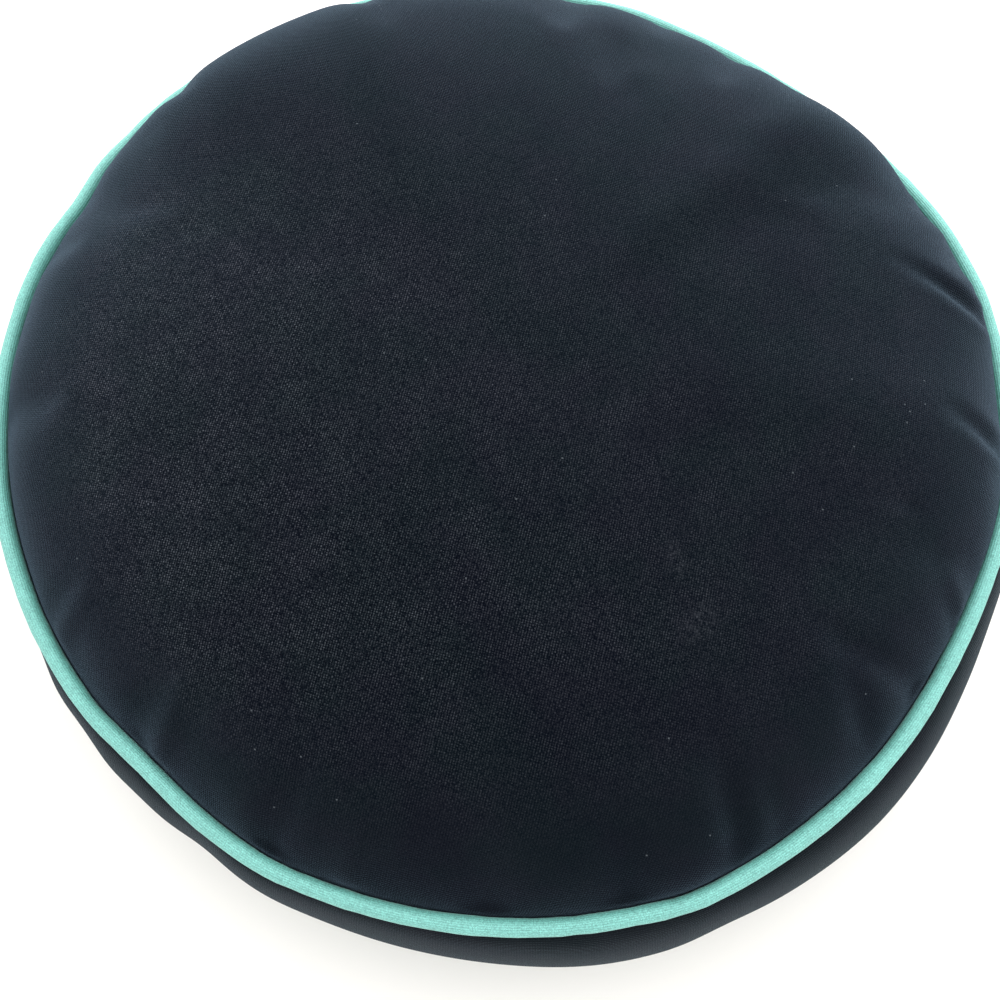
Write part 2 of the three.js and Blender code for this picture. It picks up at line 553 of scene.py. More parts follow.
def graded(curve, first_step, last_step):
    """Points along a curve, with steps that grow or shrink evenly from one end to the other."""
    lengths = lengths_along(curve)
    steps = round(lengths[-1] / ((first_step + last_step) / 2))
    share = np.arange(steps + 1) / steps
    along = first_step * share + (last_step - first_step) * share**2 / 2
    along *= lengths[-1] / along[-1]
    return np.column_stack([np.interp(along, lengths, curve[:, axis]) for axis in (0, 1)])


class CoverPattern:
    """The rings of the cover from the middle of the crown, over the shoulder, down the band and in to
    the middle of the underside: each one's radius, height, part and length of cloth from the crown."""

    def __init__(self, shape):
        upper = groove(shape, shape.upper_seam_height, PANEL_EDGE_DEG, BAND_EDGE_DEG)
        lower = groove(shape, shape.lower_seam_height, -BAND_EDGE_DEG, -PANEL_EDGE_DEG)
        self.edge_radius, self.edge_height = upper[0]
        self.band_top_radius, self.band_top_height = upper[-1]
        self.band_foot_height = lower[0][1]
        self.rise = shape.upper_seam_height + shape.crown_height - self.edge_height
        turn = np.linspace(0, math.pi / 2, CROWN_POINTS)
        crown = np.column_stack(
            (
                self.edge_radius * np.sin(turn) ** (2 / shape.crown_fullness),
                self.edge_height + self.rise * np.cos(turn),
            )
        )
        turn = np.linspace(0, math.pi, BAND_POINTS)
        half_height = (self.band_top_height - self.band_foot_height) / 2
        band = np.column_stack(
            (
                upper[-1][0] + shape.band_bulge * np.abs(np.sin(turn)) ** shape.band_roundness,
                self.band_foot_height + half_height * (1 + np.cos(turn)),
            )
        )
        turn = np.linspace(math.pi / 2, 0, FOOT_POINTS)
        foot = np.column_stack(
            (
                shape.rest_radius + (lower[-1][0] - shape.rest_radius) * np.sin(turn),
                lower[-1][1] * (1 - np.cos(turn)),
            )
        )
        parts = (
            (graded(crown, CROWN_STEP, SEAM_STEP)[:-1], CROWN),
            (upper, UPPER_GROOVE),
            (graded(band, SEAM_STEP, SEAM_STEP)[1:-1], BAND),
            (lower, LOWER_GROOVE),
            (graded(np.vstack((foot, (0, 0))), SEAM_STEP, UNDERSIDE_STEP)[1:], UNDERSIDE),
        )
        rings = np.vstack([points for points, part in parts])
        self.radius, self.height = rings[:, :1], rings[:, 1:]
        self.part = np.concatenate([[part] * len(points) for points, part in parts])[:, None]
        self.length = lengths_along(rings)
        self.upper_seam = self.length[self.part[:, 0] == UPPER_GROOVE].mean()
        self.lower_seam = self.length[self.part[:, 0] == LOWER_GROOVE].mean()
        self.panel_length = self.length[self.part[:, 0] == UPPER_GROOVE][0]

    def length_at(self, part, radius):
        """Length of cloth from the crown to where a part has this radius."""
        rows = np.flatnonzero(self.part[:, 0] == part)
        return self.length[rows[np.argmin(np.abs(self.radius[rows, 0] - radius))]]

    def settled(self, shape, deg):
        """Radius and height, ring by direction, once cloth and filling have pulled it out of round."""
        share = np.minimum(self.radius / self.edge_radius, 1)
        lift = swell_at(SEAM_LIFTS, deg)
        slack = swell_at(SLACK_SHOULDER, deg) / MM
        shoulder = swell_at(SHOULDER_SWELLS, deg) * share**SHOULDER_FADE
        shoulder = 1 + (shoulder + swell_at(PANEL_DROPS, deg) * share**SLOW_FADE) / self.rise
        rise_share = np.clip((self.height - self.edge_height) / self.rise, 0, 1)
        crown = self.rise * rise_share ** (1 + slack) * shoulder
        crown += self.edge_height + lift * share**SHOULDER_FADE
        swell = np.clip((self.radius - self.band_top_radius) / shape.band_bulge, 0, 1)
        band_height = self.band_top_height - self.band_foot_height
        up_band = (self.height - self.band_foot_height) / band_height
        radius = self.radius + swell_at(RIM_SWELLS, deg) * share**SLOW_FADE
        radius += np.where(self.part == BAND, swell_at(BAND_SWELLS, deg) * swell, 0)
        height = np.where(self.part == CROWN, crown, self.height)
        height = height + np.where(self.part == UPPER_GROOVE, lift, 0)
        height = height + np.where(self.part == BAND, lift * up_band, 0)
        tuck = swell_at(SEAM_TUCKS, deg) / MM
        angle = np.arctan2(self.height - shape.upper_seam_height, self.radius - shape.rim_radius)
        round_piping = np.degrees(angle) % 360
        left = (BAND_EDGE_DEG - round_piping) / (BAND_EDGE_DEG - PANEL_EDGE_DEG)
        turned = np.radians(round_piping + tuck * left)
        reach = shape.piping_radius + shape.seam_gap
        in_groove = self.part == UPPER_GROOVE
        radius += np.where(in_groove, reach * (np.cos(turned) - np.cos(angle)), 0)
        height += np.where(in_groove, reach * (np.sin(turned) - np.sin(angle)), 0)
        edge = math.radians(PANEL_EDGE_DEG)
        turned = edge + np.radians(tuck)
        on_crown = np.where(self.part == CROWN, share**EDGE_FADE, 0)
        radius += on_crown * reach * (np.cos(turned) - math.cos(edge))
        height += on_crown * reach * (np.sin(turned) - math.sin(edge))
        return radius, height


def plan_point(shape, deg, mm_in):
    radius = shape.rim_radius - mm_in * MM
    angle = math.radians(deg)
    return np.array((radius * math.cos(angle), radius * math.sin(angle)))


def fold_depth(shape, plan):
    """Depth of all folds together at places of the top panel, flat in plan."""
    total = np.zeros(len(plan))
    folds = [(places, half_width, 0, 1) for places, half_width in PANEL_FOLDS]
    for aside, depth, half_width in CREASE_SECTION:
        folds += [(places, half_width, aside, depth) for places in CREASES]
    for places, half_width, aside, strength in folds:
        nearest = np.full(len(plan), np.inf)
        depth = np.zeros(len(plan))
        for (deg_a, in_a, depth_a), (deg_b, in_b, depth_b) in zip(places, places[1:]):
            start = plan_point(shape, deg_a, in_a)
            along = plan_point(shape, deg_b, in_b) - start
            start += np.array((-along[1], along[0])) * (aside * MM / np.linalg.norm(along))
            share = np.clip((plan - start) @ along / (along @ along), 0, 1)
            away = np.linalg.norm(plan - start - share[:, None] * along, axis=1)
            closer = away < nearest
            nearest = np.where(closer, away, nearest)
            depth = np.where(closer, depth_a + (depth_b - depth_a) * share, depth)
        total += depth * strength * MM * np.exp(-((nearest / (half_width * MM)) ** 2))
    return total


def select_only(piece):
    bpy.ops.object.select_all(action="DESELECT")
    piece.select_set(True)
    bpy.context.view_layer.objects.active = piece


def vertex_places(piece):
    places = np.zeros(len(piece.data.vertices) * 3)
    piece.data.vertices.foreach_get("co", places)
    return places.reshape(-1, 3)


def move_vertices(piece, places):
    piece.data.vertices.foreach_set("co", places.astype(np.float32).ravel())
    piece.data.update()


def vertex_normals(piece):
    normals = np.zeros(len(piece.data.vertices) * 3, dtype=np.float32)
    piece.data.vertex_normals.foreach_get("vector", normals)
    return normals.reshape(-1, 3).astype(float)


def store_on_points(piece, name, values):
    attribute = piece.data.attributes.get(name) or piece.data.attributes.new(name, "FLOAT", "POINT")
    attribute.data.foreach_set("value", values.astype(np.float32))


def read_on_points(piece, name):
    values = np.zeros(len(piece.data.vertices), dtype=np.float32)
    piece.data.attributes[name].data.foreach_get("value", values)
    return values.astype(float)


def faded_folds(shape, cover, pattern):
    """Depth of the folds at each vertex of the cover, faded out beside the seam and off the panel."""
    in_from_rim = pattern.panel_length - read_on_points(cover, "cloth_length")
    fade = smooth_step(in_from_rim / MM, *FOLD_FADE_MM)
    return fold_depth(shape, vertex_places(cover)[:, :2]) * fade


def apply_modifier(piece, kind, **settings):
    select_only(piece)
    modifier = piece.modifiers.new(kind.title(), kind)
    for name, value in settings.items():
        setattr(modifier, name, value)
    bpy.ops.object.modifier_apply(modifier=modifier.name)


def grid_of_ball(piece, rows, columns):
    """Row and column of each vertex of a round grid that was added as a ball of radius 1."""
    ball = vertex_places(piece)
    tilt = np.arccos(np.clip(ball[:, 2], -1, 1)) / math.pi
    turn = np.arctan2(ball[:, 1], ball[:, 0]) / (2 * math.pi)
    return np.rint(tilt * (rows - 1)).astype(int), np.rint(turn * columns).astype(int) % columns


def thin_columns(cover, row, column, radius):
    """Takes out every other column inside each of the thinning radii, so that the middles of the panels
    aren't crowded with faces."""
    ends = np.zeros(len(cover.data.edges) * 2, dtype=np.int32)
    cover.data.edges.foreach_get("vertices", ends)
    first, second = ends.reshape(-1, 2).T
    lengthways = row[first] != row[second]
    outer = np.maximum(radius[row[first]], radius[row[second]])
    inner_column = np.where(radius[row[first]] > radius[row[second]], column[first], column[second])
    goes = np.zeros(len(first), dtype=bool)
    for times, limit in enumerate(THINNED_INSIDE):
        goes |= lengthways & (outer <= limit) & (inner_column % 2 ** (times + 1) != 0)
    select_only(cover)
    bpy.ops.object.mode_set(mode="EDIT")
    bpy.ops.mesh.select_mode(type="EDGE")
    bpy.ops.mesh.select_all(action="DESELECT")
    bpy.ops.object.mode_set(mode="OBJECT")
    cover.data.edges.foreach_set("select", goes)
    bpy.ops.object.mode_set(mode="EDIT")
    bpy.ops.mesh.dissolve_edges(use_verts=True, use_face_split=False)
    bpy.ops.mesh.select_mode(type="VERT")
    bpy.ops.object.mode_set(mode="OBJECT")


def add_cover(shape, pattern):
    """A closed grid in the shape of the filled cover."""
    rows, columns = len(pattern.length), shape.steps_around
    bpy.ops.object.select_all(action="DESELECT")
    bpy.ops.mesh.primitive_uv_sphere_add(segments=columns, ring_count=rows - 1, radius=1)
    cover = bpy.context.object
    cover.name = "cushion_cover"
    row, column = grid_of_ball(cover, rows, columns)
    deg = np.arange(columns) * 360 / columns
    radius, height = pattern.settled(shape, deg[None, :])
    angle = np.radians(deg[column])
    reach = radius[row, column]
    places = (reach * np.cos(angle), reach * np.sin(angle), height[row, column])
    move_vertices(cover, np.column_stack(places))
    store_on_points(cover, "row", row)
    store_on_points(cover, "column", column)
    store_on_points(cover, "cloth_length", pattern.length[row])
    store_on_points(cover, "direction", deg[column])
    thin_columns(cover, row, column, pattern.radius[:, 0])
    return cover


def cut_shape(cover, pattern):
    """Where each vertex would lie on cloth as it is cut: a disc for each panel and a loop for the band.
    The seams draw it in, which leaves too much cloth beside them, so that it gathers there."""
    length = read_on_points(cover, "cloth_length")
    deg = read_on_points(cover, "direction")
    angle = np.radians(deg)
    on_top = length < pattern.upper_seam
    under = length > pattern.lower_seam
    reach = np.where(on_top, length, pattern.length[-1] - length)
    reach = np.where(on_top | under, reach, pattern.panel_length * BAND_CUT)
    reach *= 1 - swell_at(EASED_CLOTH, deg) / MM
    on_band = pattern.lower_seam - length
    height = np.where(on_top, CUT_PANEL_HEIGHT, np.where(under, -CUT_PANEL_HEIGHT, on_band))
    return np.column_stack((reach * np.cos(angle), reach * np.sin(angle), height))


def settle_cloth(cover, pattern, start, pressure):
    """Lets a copy of the cover settle as cloth under the pressure of its filling, sewn down at both
    seams, and returns where its vertices end up."""
    select_only(cover)
    bpy.ops.object.duplicate()
    trial = bpy.context.object
    trial.name = "trial_cover"
    move_vertices(trial, start)
    trial.shape_key_add(name="sewn", from_mix=False)
    cut = trial.shape_key_add(name="as_cut", from_mix=False)
    cut.data.foreach_set("co", cut_shape(trial, pattern).astype(np.float32).ravel())
    cut.value = 0
    length = read_on_points(trial, "cloth_length")
    still = (length < pattern.length_at(CROWN, STILL_RADIUS)) | (
        length > pattern.length_at(UNDERSIDE, STILL_RADIUS)
    )
    margin = 1e-5
    for part in (UPPER_GROOVE, LOWER_GROOVE):
        grooved = pattern.length[pattern.part[:, 0] == part]
        still |= (length > grooved[0] - margin) & (length < grooved[-1] + margin)
    held = trial.vertex_groups.new(name="held")
    held.add([int(index) for index in np.flatnonzero(still)], 1, "REPLACE")
    modifier = trial.modifiers.new("Cloth", "CLOTH")
    cloth = modifier.settings
    cloth.rest_shape_key = cut
    cloth.vertex_group_mass = held.name
    for name, value in CLOTH_SETTINGS.items():
        setattr(cloth, name, value)
    cloth.uniform_pressure_force = pressure
    cloth.effector_weights.gravity = 0
    modifier.point_cache.frame_start = 1
    modifier.point_cache.frame_end = CLOTH_FRAMES
    for step in range(1, CLOTH_FRAMES + 1):
        bpy.context.scene.frame_set(step)
    select_only(trial)
    bpy.ops.object.convert(target="MESH")
    places = vertex_places(trial)
    bpy.ops.object.delete()
    bpy.context.scene.frame_set(1)
    return places


def gathers(cover, pattern, columns, moved):
    """The ripples in how far each vertex moved outwards, without the slow swell round the cushion. Only
    rings that kept all their columns have them."""
    row = read_on_points(cover, "row").astype(int)
    column = read_on_points(cover, "column").astype(int)
    whole = pattern.radius[:, 0] > THINNED_INSIDE[0]
    used = whole[row]
    grid = np.zeros((len(pattern.length), columns))
    grid[row[used], column[used]] = moved[used]
    waves = np.fft.rfft(grid, axis=1)
    waves[:, :SLOW_WAVES] = 0
    ripples = np.clip(np.fft.irfft(waves, columns, axis=1), -GATHER_CAP, GATHER_CAP)
    fade = smooth_step(pattern.radius, THINNED_INSIDE[0], THINNED_INSIDE[0] + GATHER_FADE)
    return (ripples * fade)[row, column] * used


def lay_out_cut(cover, pattern, band_radius, grain_turn):
    """A UV map in metres, with each cloth as it is cut: two discs, turned on the cloth, and a strip along
    its threads."""
    corners = np.zeros(len(cover.data.loops), dtype=np.int32)
    cover.data.loops.foreach_get("vertex_index", corners)
    counts = np.zeros(len(cover.data.polygons), dtype=np.int32)
    cover.data.polygons.foreach_get("loop_total", counts)
    centres = np.zeros(len(counts) * 3, dtype=np.float32)
    cover.data.polygons.foreach_get("center", centres)
    centres = centres.reshape(-1, 3)
    face = np.repeat(np.arange(len(counts)), counts)
    face_deg = np.degrees(np.arctan2(centres[:, 1], centres[:, 0]))[face]
    length = read_on_points(cover, "cloth_length")[corners]
    face_length = (np.bincount(face, length) / counts)[face]
    at_pole = (length == 0) | (length == pattern.length[-1])
    turn = turn_between(read_on_points(cover, "direction")[corners], face_deg)
    turn = np.where(at_pole, 0, turn)
    angle = np.radians(face_deg + turn) - grain_turn
    from_foot = pattern.length[-1] - length
    strip = np.radians((face_deg - BAND_JOIN_DEG) % 360 + turn) * band_radius
    on_top = face_length < pattern.upper_seam
    under = face_length > pattern.lower_seam
    foot_u, foot_v = 1 + from_foot * np.cos(angle), from_foot * np.sin(angle)
    u = np.where(on_top, length * np.cos(angle), np.where(under, foot_u, strip))
    v = np.where(on_top, length * np.sin(angle), np.where(under, foot_v, 1 - length))
    layer = cover.data.uv_layers[0]
    layer.name = "cut"
    layer.data.foreach_set("uv", np.column_stack((u, v)).astype(np.float32).ravel())


def add_piping(shape, name, seam_height, lift_rows, seed):
    """A covered cord that follows its seam."""
    steps_along, steps_round = PIPING_STEPS
    bpy.ops.object.select_all(action="DESELECT")
    bpy.ops.mesh.primitive_torus_add(
        major_segments=steps_along,
        minor_segments=steps_round,
        major_radius=shape.rim_radius,
        minor_radius=shape.piping_radius,
        generate_uvs=True,
    )
    piping = bpy.context.object
    piping.name = name
    places = vertex_places(piping)
    radius = np.hypot(places[:, 0], places[:, 1])
    deg = np.degrees(np.arctan2(places[:, 1], places[:, 0]))
    thickness = 1 + swell_at(PIPING_SWELLS, deg) / shape.piping_radius
    uneven = np.random.default_rng(seed).normal(size=UNEVEN_PLACES)
    uneven = (uneven + np.roll(uneven, 1) + np.roll(uneven, 2)) * PIPING_UNEVENNESS
    thickness += uneven[np.rint(deg * UNEVEN_PLACES / 360).astype(int) % UNEVEN_PLACES]
    new_radius = shape.rim_radius + (radius - shape.rim_radius) * thickness
    new_radius += swell_at(RIM_SWELLS, deg)
    places[:, :2] *= (new_radius / radius)[:, None]
    places[:, 2] = places[:, 2] * thickness + seam_height + swell_at(lift_rows, deg)
    move_vertices(piping, places)
    layer = piping.data.uv_layers[0]
    layer.name = "cut"
    uv = np.zeros(len(layer.data) * 2, dtype=np.float32)
    layer.data.foreach_get("uv", uv)
    uv = uv.reshape(-1, 2) * (2 * math.pi * shape.rim_radius, 2 * math.pi * shape.piping_radius)
    layer.data.foreach_set("uv", uv.astype(np.float32).ravel())
    select_only(piping)
    bpy.ops.object.shade_smooth()
    return piping


def cord_girth():
    """Round a piping's section."""
    return 2 * math.pi * bpy.context.scene.cushion_shape.piping_radius


class Number:
    """A number in a material. Sums on it add Math nodes."""

    def __init__(self, finish, socket):
        self.finish = finish
        self.socket = socket

    def math(self, operation, *terms):
        inputs = dict(enumerate((self, *terms)))
        return self.finish.number("ShaderNodeMath", {"operation": operation}, inputs)

    def __add__(self, other):
        return self.math("ADD", other)

    def __radd__(self, other):
        return self.math("ADD", other)

    def __sub__(self, other):
        return self.math("SUBTRACT", other)

    def __rsub__(self, other):
        return self.math("MULTIPLY_ADD", -1, other)

    def __mul__(self, other):
        return self.math("MULTIPLY", other)

    def __rmul__(self, other):
        return self.math("MULTIPLY", other)

    def __pow__(self, other):
        return self.math("POWER", other)

    def __abs__(self):
        return self.math("ABSOLUTE")

    def sine(self):
        return self.math("SINE")

    def floor(self):
        return self.math("FLOOR")

    def between(self, start, end):
        """0 up to start, 1 from end on, and smooth in between."""
        return self.finish.number(
            "ShaderNodeMapRange",
            {"interpolation_type": "SMOOTHSTEP"},
            {"Value": self, "From Min": start, "From Max": end},
        )

    def factor(self, change):
        """A factor round 1 from a number between 0 and 1."""
        return 1 + (self - 0.5) * change


class Finish:
    """A material that is put together node by node."""

    def __init__(self, name):
        self.material = bpy.data.materials.new(name)
        self.material.use_nodes = True
        self.tree = self.material.node_tree
        self.tree.nodes.clear()

    @classmethod
    def of_world(cls, world):
        room = cls.__new__(cls)
        room.tree = world.node_tree
        room.tree.nodes.clear()
        return room

    def node(self, kind, settings=None, inputs=None):
        made = self.tree.nodes.new(kind)
        for name, value in (settings or {}).items():
            setattr(made, name, value)
        for name, value in (inputs or {}).items():
            target = made.inputs[name]
            if isinstance(value, Number):
                value = value.socket
            if isinstance(value, bpy.types.NodeSocket):
                self.tree.links.new(value, target)
            else:
                target.default_value = value
        return made

    def number(self, kind, settings=None, inputs=None):
        return Number(self, self.node(kind, settings, inputs).outputs[0])

    def vector(self, x=0, y=0, z=0):
        return self.node("ShaderNodeCombineXYZ", None, {0: x, 1: y, 2: z}).outputs[0]

    def split(self, vector):
        parts = self.node("ShaderNodeSeparateXYZ", None, {0: vector}).outputs
        return [Number(self, part) for part in parts]

    def noise(self, vector, scale, detail=2, roughness=0.5):
        return self.number(
            "ShaderNodeTexNoise",
            {"noise_dimensions": "3D"},
            {"Vector": vector, "Scale": scale, "Detail": detail, "Roughness": roughness},
        )

    def vector_math(self, operation, inputs):
        return self.node("ShaderNodeVectorMath", {"operation": operation}, inputs).outputs[0]

    def scaled(self, vector, factor):
        """A vector made longer, or a colour made lighter, by a number."""
        return self.vector_math("SCALE", {0: vector, "Scale": factor})

    def product(self, first, second):
        return self.vector_math("MULTIPLY", {0: first, 1: second})

    def total(self, first, second):
        return self.vector_math("ADD", {0: first, 1: second})

    def mixed(self, factor, first, second):
        inputs = {0: factor, 6: first, 7: second}
        return self.node("ShaderNodeMix", {"data_type": "RGBA"}, inputs).outputs[2]

    def principled(self, inputs):
        return self.node("ShaderNodeBsdfPrincipled", None, inputs).outputs[0]

    def bumped(self, height, strength, distance):
        inputs = {"Height": height, "Strength": strength, "Distance": distance}
        return self.node("ShaderNodeBump", None, inputs).outputs[0]

    def finished(self, shader):
        self.node("ShaderNodeOutputMaterial", None, {"Surface": shader})
        return self.material



def plain_weave(finish, uv, pitches, wander):
    """Threads of a plain weave on a UV map in metres: how many threads across and along a place lies,
    the height of the cloth, the tone of the thread that shows, which set of threads is on top, and how
    close to the middle of a lengthways thread it is."""
    drift = finish.node(
        "ShaderNodeTexNoise", {"noise_dimensions": "2D"}, {"Vector": uv, "Scale": 30, "Detail": 1}
    ).outputs["Color"]
    pulled = finish.scaled(finish.total(drift, (-0.5, -0.5, -0.5)), wander)
    threads = finish.node(
        "ShaderNodeMapping",
        {"vector_type": "TEXTURE"},
        {"Vector": finish.total(uv, pulled), "Scale": (*pitches, 1)},
    ).outputs[0]
    across, along, _ = finish.split(threads)
    warp_wave = (across * math.pi).sine()
    weft_wave = (along * math.pi).sine()
    crossing = warp_wave * weft_wave
    warp_on_top = crossing.between(-0.3, 0.3)
    height = abs(crossing) ** 0.6
    thread_gap, along_thread = 3.71, 0.1
    warp = finish.vector(across.floor() * thread_gap + 0.37, along * along_thread)
    weft = finish.vector(across * along_thread, along.floor() * thread_gap + 0.37, 5)
    warp_tone, weft_tone = finish.noise(warp, 1, 2, 0.6), finish.noise(weft, 1, 2, 0.6)
    tone = weft_tone + (warp_tone - weft_tone) * warp_on_top
    return across, along, height, tone, warp_on_top, abs(warp_wave)


def speckle(finish, across, along, cells, seed=0):
    """A different random number in each small cell of the weave."""
    return finish.number(
        "ShaderNodeTexWhiteNoise",
        {"noise_dimensions": "3D"},
        {"Vector": finish.vector((across * cells).floor(), (along * cells).floor(), seed)},
    )


def lint_mask(finish, x, y, across, along):
    """A few specks of lint, most of them together beside the right of the top panel."""
    lint_x, lint_y = LINT_PLACE
    away = ((x - lint_x) ** 2 + (y - lint_y) ** 2) ** 0.5
    chance = LINT_CHANCE + (1 - away.between(*LINT_REACH)) * LINT_CHANCE * LINT_CLUSTER
    specks = speckle(finish, across, along, LINT_CELLS, LINT_SEED)
    return (1 - chance).math("LESS_THAN", specks)


def scuff_mask(finish, uv, x, y):
    """Pale rubbed patches on the top panel, broken up by the weave."""
    patches = 0
    for at_x, at_y, reach, strength in SCUFFS:
        away = ((x - at_x) ** 2 + (y - at_y) ** 2) ** 0.5
        patches = (1 - away.between(0, reach)) * strength + patches
    broken_up = finish.noise(uv, scale=420, detail=3, roughness=0.7).between(0.42, 0.72)
    return patches * broken_up * SCUFF_STRENGTH


def navy_finish(cloth):
    """Plain-woven navy canvas, a little worn and dusty, with a soft nap."""
    finish = Finish("navy_canvas")
    uv = finish.node("ShaderNodeUVMap", {"uv_map": "cut"}).outputs[0]
    x, y, z = finish.split(finish.node("ShaderNodeTexCoord").outputs["Object"])
    along_band, across_band, _ = finish.split(uv)
    on_band = across_band.between(0.4, 0.5)
    up_band = z.between(*BAND_PAINTED_SHADE_HEIGHTS)
    across, along, height, tone, warp_on_top, warp_line = plain_weave(
        finish, uv, (cloth.warp_pitch, cloth.weft_pitch), NAVY_WANDER
    )
    fibres = speckle(finish, across, along, FIBRE_CELLS)
    crisp = CRISPEST * (1 - on_band * LESS_CRISP_BAND)
    from_middle = (x * x + y * y) ** 0.5
    for place, (start, end, lost) in zip((from_middle, x, y, y), LESS_CRISP):
        crisp = crisp * (1 - place.between(start, end) * lost)
    worn = finish.noise(uv, scale=70, detail=3, roughness=0.6).between(0.3, 0.7)
    relief = (0.2 + height * 0.9) * (0.3 + warp_line)
    relief = MEAN_RELIEF + (relief - MEAN_RELIEF) * (1 - worn * WORN_RELIEF) * crisp
    shade = relief * warp_on_top.factor(UPPER_THREAD_CHANGE) * tone.factor(THREAD_CHANGE)
    shade = shade * fibres.factor(crisp * NAVY_FIBRE_CHANGE)
    shade = (shade * SHADE_GAIN) ** (1 + crisp * CRISP_CONTRAST) * MEAN_RELIEF
    clouds = finish.noise(uv, scale=28, detail=4, roughness=0.6)
    streaks = finish.vector(along_band * 14, across_band * 60)
    streaks = finish.noise(streaks, scale=1, detail=3, roughness=0.6)
    clouds = (clouds + (streaks - clouds) * on_band).between(0.25, 0.75)
    shade = shade * clouds.factor(PANEL_CLOUDS + on_band * (BAND_CLOUDS - PANEL_CLOUDS))
    # Painted shade on the side band: darker towards its foot and lighter towards its top
    shade = shade * (1 + (up_band * BAND_TOP_PAINTED_LIGHT - BAND_FOOT_PAINTED_SHADE) * on_band)
    shade = shade + scuff_mask(finish, uv, x, y)
    hue = finish.noise(uv, scale=22, detail=3, roughness=0.6).between(0.35, 0.65)
    # The band's foot is tinted warm: brownish dust and a painted reflection of the warm floor
    band_dust_and_reflection_tint = finish.mixed(up_band, BAND_FOOT_DUST_AND_REFLECTION_TINT, BAND_TOP_TINT)
    tint = finish.product(
        finish.mixed(hue, COOL_TINT, WARM_TINT), finish.mixed(on_band, (1, 1, 1, 1), band_dust_and_reflection_tint)
    )
    hued = finish.product((*cloth.navy,), tint)
    hued = finish.scaled(hued, shade * (1 - GREY_SHARE) + MEAN_SHADE * GREY_SHARE)
    grey = (shade - MEAN_SHADE) * GREY_SHARE * GREY_STRENGTH
    colour = finish.total(hued, finish.scaled((cloth.navy.g,) * 3, grey))
    lint = lint_mask(finish, x, y, across, along)
    inputs = {
        "Base Color": finish.mixed(lint, colour, (*cloth.lint, 1)),
        "Roughness": 0.9,
        "Specular IOR Level": NAVY_SPECULAR,
        "Sheen Weight": 1,
        "Sheen Roughness": NAP_ROUGHNESS,
        "Normal": finish.bumped(height + fibres * 0.3, strength=0.7, distance=0.00022),
    }
    panel, band = [
        finish.principled({**inputs, "Sheen Tint": (*nap, 1)}) for nap in (PANEL_NAP, BAND_NAP)
    ]
    mix = finish.node("ShaderNodeMixShader", None, {0: on_band, 1: panel, 2: band})
    return finish.finished(mix.outputs[0])


def mint_finish(cloth):
    """Ribbed cotton round the cord, with a painted pale sheen and floor reflection on the outside and
    painted shade on the inside.
    """
    finish = Finish("mint_cotton")
    uv = finish.node("ShaderNodeUVMap", {"uv_map": "cut"}).outputs[0]
    across, along, height, tone, _, _ = plain_weave(
        finish, uv, (cloth.mint_pitch * 0.9, cloth.mint_pitch), MINT_WANDER
    )
    _, round_cord, _ = finish.split(uv)
    ribs = abs((round_cord * (math.pi / cloth.mint_pitch)).sine())
    fibres = speckle(finish, across, along, FIBRE_CELLS)
    soft = finish.noise(uv, scale=160, detail=3, roughness=0.6)
    shade = MINT_DARKEST + ribs * RIB_CHANGE + height * MINT_WEAVE_CHANGE
    shade = shade * tone.factor(THREAD_CHANGE) * fibres.factor(MINT_FIBRE_CHANGE)
    shade = shade * soft.factor(MINT_CLOUDS) * MINT_BRIGHTNESS
    inwards = abs(round_cord * (1 / cord_girth()) - 0.5)
    # Painted shade on the side of the piping turned to the panel, and a painted pale sheen and floor
    # reflection on its outer side
    colour = finish.mixed(inwards.between(*PAINTED_SHADE_PART), (*cloth.mint, 1), (*cloth.painted_shade_mint, 1))
    colour = finish.mixed(1 - inwards.between(*PAINTED_SHEEN_PART), colour, (*cloth.painted_sheen_mint, 1))
    inputs = {
        "Base Color": finish.scaled(colour, shade),
        "Roughness": 0.85,
        "Specular IOR Level": 0.2,
        "Sheen Weight": MINT_SHEEN,
        "Sheen Roughness": MINT_SHEEN_ROUGHNESS,
        "Sheen Tint": (1, 1, 1, 1),
        "Normal": finish.bumped(height + ribs, strength=0.6, distance=0.00018),
    }
    return finish.finished(finish.principled(inputs))


def set_material(piece, material):
    piece.data.materials.clear()
    piece.data.materials.append(material)


class MakeCover(bpy.types.Operator):
    """Cuts, sews and fills the navy cover"""

    bl_idname = "cushion.make_cover"
    bl_label = "Make cover"

    def execute(self, context):
        shape, cloth = context.scene.cushion_shape, context.scene.cushion_cloth
        pattern = CoverPattern(shape)
        cover = add_cover(shape, pattern)
        lay_out_cut(cover, pattern, shape.rim_radius + shape.band_bulge, cloth.weave_turn)
        sewn, outwards = vertex_places(cover), vertex_normals(cover)
        start = sewn - outwards * faded_folds(shape, cover, pattern)[:, None]
        moved = settle_cloth(cover, pattern, start, cloth.pressure) - sewn
        ripples = gathers(cover, pattern, shape.steps_around, (moved * outwards).sum(axis=1))
        move_vertices(cover, sewn + outwards * ripples[:, None])
        apply_modifier(cover, "SUBSURF", levels=1, render_levels=1)
        places, outwards = vertex_places(cover), vertex_normals(cover)
        share = FOLD_SHARE
        places -= outwards * share * faded_folds(shape, cover, pattern)[:, None]
        places[:, 2] = np.maximum(places[:, 2], 0)
        move_vertices(cover, places)
        select_only(cover)
        bpy.ops.object.shade_smooth()
        set_material(cover, navy_finish(cloth))
        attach(cover, "root")
        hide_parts("cushion_body")
        return {"FINISHED"}


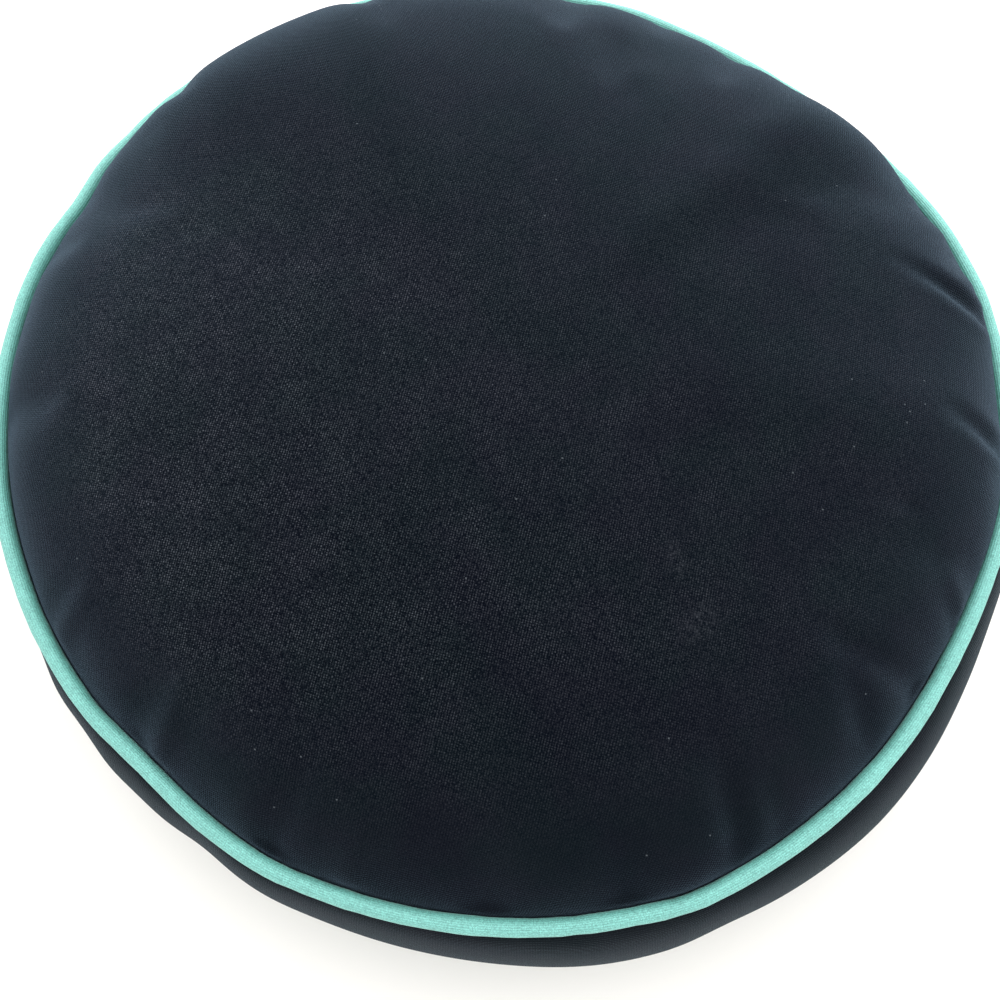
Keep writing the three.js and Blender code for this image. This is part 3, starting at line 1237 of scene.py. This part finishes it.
class MakePipings(bpy.types.Operator):
    """Sews the mint piping into the upper and the lower seam"""

    bl_idname = "cushion.make_pipings"
    bl_label = "Make pipings"

    def execute(self, context):
        shape, cloth = context.scene.cushion_shape, context.scene.cushion_cloth
        material = mint_finish(cloth)
        seams = (
            ("upper_piping", shape.upper_seam_height, SEAM_LIFTS, "piping_upper"),
            ("lower_piping", shape.lower_seam_height, (), "piping_lower"),
        )
        for seed, (name, seam_height, lift_rows, node) in enumerate(seams):
            piping = add_piping(shape, name, seam_height, lift_rows, seed)
            set_material(piping, material)
            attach(piping, "root")
            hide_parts(node)
        return {"FINISHED"}


def light_room(scene):
    """Light from all round, less of it from above and more from the far side, and a soft window."""
    world = bpy.data.worlds.new("soft_room")
    scene.world = world
    world.use_nodes = True
    room = Finish.of_world(world)
    towards = room.node("ShaderNodeTexCoord").outputs["Generated"]
    right, far, up = room.split(towards)
    base, from_right, from_far, from_above = ROOM_LIGHT
    strength = right * from_right + far * from_far + up * from_above + base
    glow = room.node(
        "ShaderNodeBackground",
        None,
        {"Color": ROOM_COLOUR, "Strength": strength},
    )
    room.node("ShaderNodeOutputWorld", None, {"Surface": glow.outputs[0]})
    bpy.ops.object.light_add(type="AREA", location=WINDOW_PLACE)
    window = bpy.context.object
    window.name = "window_light"
    window.data.shape = "DISK"
    window.data.size = WINDOW_SIZE
    window.data.energy = WINDOW_ENERGY
    x, y, z = WINDOW_PLACE
    window.rotation_euler = (-math.atan2(y, z), math.atan2(x, math.hypot(y, z)), 0)


class MakeStage(bpy.types.Operator):
    """Lays the pale floor and sets the soft light and the camera"""

    bl_idname = "cushion.make_stage"
    bl_label = "Make stage"

    def execute(self, context):
        scene = context.scene
        bpy.ops.object.select_all(action="DESELECT")
        bpy.ops.mesh.primitive_plane_add(size=FLOOR_SIZE, location=(0, 0, -FLOOR_DROP))
        floor = context.object
        floor.name = "floor"
        finish = Finish("pale_floor")
        matt = finish.principled({"Base Color": (*FLOOR, 1), "Roughness": 0.8})
        set_material(floor, finish.finished(matt))
        light_room(scene)
        scene.view_settings.view_transform = "Standard"
        tilt = math.radians(CAMERA_TILT_DEG)
        bpy.ops.object.camera_add(location=CAMERA_PLACE, rotation=(tilt, 0, 0))
        camera = context.object
        camera.name = "photo_camera"
        camera.data.lens = CAMERA_LENS
        camera.data.sensor_width = 36
        camera.data.clip_start = 0.01
        scene.camera = camera
        return {"FINISHED"}


class CushionPanel(bpy.types.Panel):
    """Lists what makes the cushion"""

    bl_idname = "VIEW3D_PT_cushion"
    bl_label = "Round box cushion"
    bl_space_type = "VIEW_3D"
    bl_region_type = "UI"
    bl_category = "Cushion"

    def draw(self, context):
        for operator in (MakeCover, MakePipings, MakeStage):
            self.layout.operator(operator.bl_idname)
        for group in (context.scene.cushion_shape, context.scene.cushion_cloth):
            for name in group.bl_rna.properties.keys():
                if name not in ("rna_type", "name"):
                    self.layout.prop(group, name)


CLASSES = (CushionShape, CushionCloth, MakeCover, MakePipings, MakeStage, CushionPanel)


def register():
    for made in CLASSES:
        bpy.utils.register_class(made)
    bpy.types.Scene.cushion_shape = bpy.props.PointerProperty(type=CushionShape)
    bpy.types.Scene.cushion_cloth = bpy.props.PointerProperty(type=CushionCloth)


def unregister():
    del bpy.types.Scene.cushion_cloth
    del bpy.types.Scene.cushion_shape
    for made in reversed(CLASSES):
        bpy.utils.unregister_class(made)


def main():
    register()
    bpy.ops.cushion.make_cover()
    bpy.ops.cushion.make_pipings()
    bpy.ops.cushion.make_stage()


if __name__ == "__main__":
    main()
